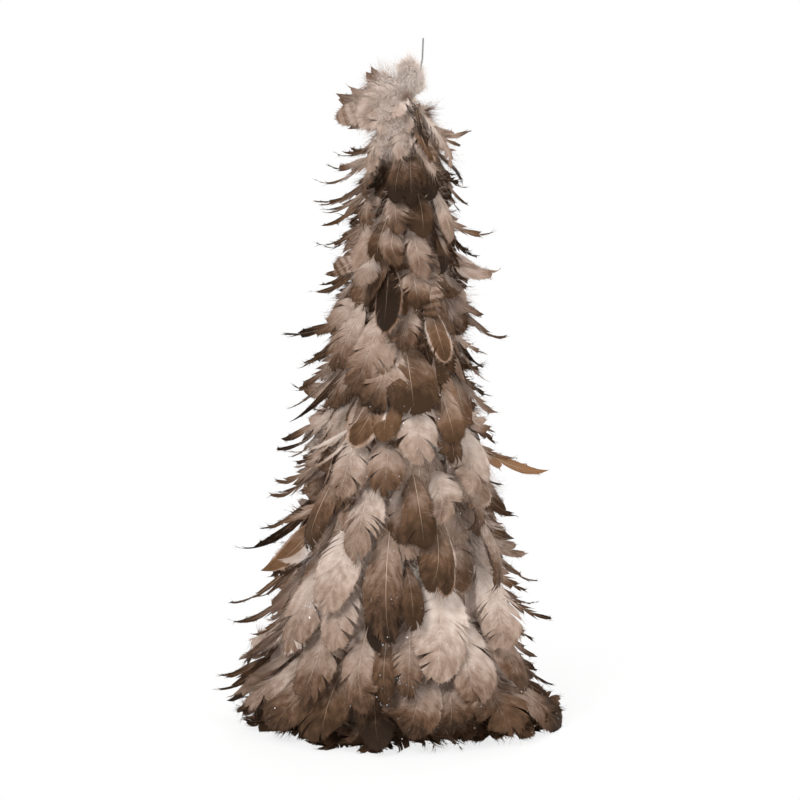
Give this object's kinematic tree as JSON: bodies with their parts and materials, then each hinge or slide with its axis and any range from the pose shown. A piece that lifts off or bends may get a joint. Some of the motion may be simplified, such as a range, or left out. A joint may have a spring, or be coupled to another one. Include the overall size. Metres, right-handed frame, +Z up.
{
  "type": "feather christmas tree",
  "caption": "Table ornament: a narrow foam cone on a card foot, covered in tiers of brown and taupe feathers, with a pale feather crown and a wire at the tip.",
  "frame": {"origin": "middle of the underside of the foot card, on the table", "axes": "+Z up the tree, -Y to the front, +X to the right of someone who looks at the front"},
  "size_m": [0.2446, 0.2406, 0.4997],
  "materials": {
    "card": "uncoated brown board",
    "foam": "matte white foam",
    "wire": "bare drawn wire",
    "glue": "set glue, satin",
    "taupe_feather": "soft taupe and brown feathers with pale shafts and some glitter",
    "dark_feather": "dark brown feathers, slightly glossy",
    "pale_feather": "pale downy feathers, matte",
    "ochre_feather": "golden brown hackle feathers, slightly glossy"
  },
  "bodies": {
    "root": {"foot_card": "card", "foam_cone": "foam", "feather_tier_01": "taupe_feather", "feather_tier_02": "taupe_feather", "feather_tier_03": "taupe_feather", "feather_tier_04": "taupe_feather", "feather_tier_05": "taupe_feather", "feather_tier_06": "taupe_feather", "feather_tier_07": "taupe_feather", "feather_tier_08": "taupe_feather", "feather_tier_09": "taupe_feather", "feather_tier_10": "taupe_feather", "feather_tier_11": "taupe_feather", "feather_tier_12": "taupe_feather", "feather_tier_13": "taupe_feather", "feather_tier_14": "taupe_feather", "feather_skirt": "dark_feather", "hackle_01": "ochre_feather", "hackle_02": "dark_feather", "hackle_03": "dark_feather", "hackle_04": "dark_feather", "hackle_05": "ochre_feather", "hackle_06": "dark_feather", "hackle_07": "dark_feather", "hackle_08": "dark_feather", "hackle_09": "ochre_feather", "hackle_10": "dark_feather", "hackle_11": "dark_feather", "hackle_12": "dark_feather", "hackle_13": "ochre_feather", "hackle_14": "dark_feather", "hackle_15": "dark_feather", "hackle_16": "dark_feather", "hackle_17": "ochre_feather", "hackle_18": "dark_feather", "hackle_19": "dark_feather", "hackle_20": "dark_feather", "hackle_21": "ochre_feather", "hackle_22": "dark_feather", "hackle_23": "dark_feather", "hackle_24": "dark_feather", "hackle_25": "ochre_feather", "hackle_26": "dark_feather", "hackle_27": "dark_feather", "tip_wire": "wire", "glue_bead": "glue", "crown_plume_01": "pale_feather", "crown_plume_02": "pale_feather", "crown_plume_03": "pale_feather", "crown_plume_04": "pale_feather", "crown_plume_05": "pale_feather", "crown_plume_06": "pale_feather", "crown_plume_07": "pale_feather", "crown_plume_08": "pale_feather", "crown_plume_09": "pale_feather", "crown_plume_10": "pale_feather", "crown_tuft": "pale_feather"}
  },
  "joints": []
}
